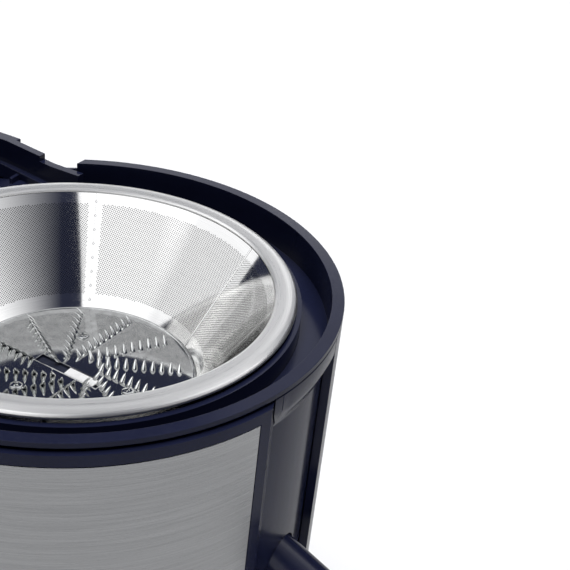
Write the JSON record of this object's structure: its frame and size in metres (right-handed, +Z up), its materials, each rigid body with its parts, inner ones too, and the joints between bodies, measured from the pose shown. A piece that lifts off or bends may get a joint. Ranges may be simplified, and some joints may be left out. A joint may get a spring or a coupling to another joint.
{
  "type": "centrifugal juicer",
  "caption": "Centrifugal juicer with its lid off: round motor base with a steel front, juice bowl, spinning filter basket with grater disc, spout and docked pulp container.",
  "frame": {"origin": "centre of the footprint's bounding box, on the surface the feet stand on", "axes": "+Z up, -Y the front with the speed knob, +X the side with the juice spout, -X the pulp container"},
  "size_m": [0.3132, 0.2118, 0.2338],
  "materials": {
    "navy_gloss": "glossy",
    "navy_satin": "satin",
    "panel_steel": "brushed lengthways",
    "rim_steel": "satin",
    "basket_steel": "satin",
    "grater_steel": "polished",
    "zinc": "plated",
    "shaft_steel": "ground",
    "aluminium": "cast",
    "rubber": "matt",
    "iron": "laminated",
    "copper": "varnished",
    "brass": "plain",
    "carbon": "matt",
    "board": "lacquered",
    "film": "moulded",
    "switch_body": "moulded"
  },
  "bodies": {
    "base": {"base_plate": "navy_satin", "feet": "rubber", "base_screws": "zinc", "motor_housing": "navy_gloss", "motor_deck": "navy_satin", "shaft_tower": "navy_satin", "rear_cover": "navy_gloss", "panel_frame": "navy_gloss", "front_panel": "panel_steel", "collar": "navy_gloss", "pulp_ring": "navy_gloss", "juice_bowl": "navy_gloss", "bowl_seal": "rubber", "spout_tube": "navy_gloss", "drip_stop_pin": "shaft_steel", "shaft_seal": "rubber", "stator_core": "iron", "field_coils": "copper", "lower_bracket": "aluminium", "upper_bracket": "aluminium", "lower_bearing": "shaft_steel", "upper_bearing": "shaft_steel", "brush_holders": "brass", "carbon_brushes": "carbon", "brush_springs": "zinc", "motor_screws": "zinc", "mount_bushes": "rubber", "mount_screws": "zinc", "control_board": "board", "suppressor": "film", "speed_switch": "switch_body", "knob_bezel": "navy_satin", "interlock_switch": "switch_body", "cable_gland": "rubber", "latch_pins": "shaft_steel"},
    "rotor": {"motor_shaft": "shaft_steel", "armature_core": "iron", "armature_windings": "copper", "commutator": "copper", "cooling_fan": "navy_satin", "drive_coupling": "navy_satin"},
    "basket": {"basket_rim": "rim_steel", "sieve": "basket_steel", "grater_disc": "grater_steel", "grater_screws": "grater_steel", "basket_hub": "navy_satin"},
    "knob": {"knob_spindle": "shaft_steel", "speed_knob": "navy_gloss"},
    "drip_stop": {"drip_stop": "navy_satin"},
    "container": {"pulp_container": "navy_gloss", "container_handle": "navy_satin"},
    "front_latch": {"front_latch": "navy_satin"},
    "rear_latch": {"rear_latch": "navy_satin"}
  },
  "joints": [
    {"name": "rotor_spin", "type": "hinge", "parent": "base", "child": "rotor", "pos_m": [0.0304, 0.00445, 0.12], "axis": [0, 0, 1], "continuous": true},
    {"name": "basket_lift", "type": "slide", "parent": "rotor", "child": "basket", "axis": [0, 0, 1], "range_m": [0, 0.095]},
    {"name": "speed_turn", "type": "hinge", "parent": "base", "child": "knob", "pos_m": [0.0304, -0.09555, 0.078], "axis": [0, -1, 0], "range_deg": [-120, 0]},
    {"name": "drip_stop_swing", "type": "hinge", "parent": "base", "child": "drip_stop", "pos_m": [0.14794, 0.00445, 0.14942], "axis": [0, -1, 0], "range_deg": [0, 95]},
    {"name": "container_slide", "type": "slide", "parent": "base", "child": "container", "axis": [-1, 0, 0], "range_m": [0, 0.14]},
    {"name": "front_latch_swing", "type": "hinge", "parent": "base", "child": "front_latch", "pos_m": [0.0304, -0.09105, 0.223], "axis": [-1, 0, 0], "range_deg": [0, 172]},
    {"name": "rear_latch_swing", "type": "hinge", "parent": "base", "child": "rear_latch", "pos_m": [0.0304, 0.09995, 0.223], "axis": [1, 0, 0], "range_deg": [0, 172]}
  ]
}
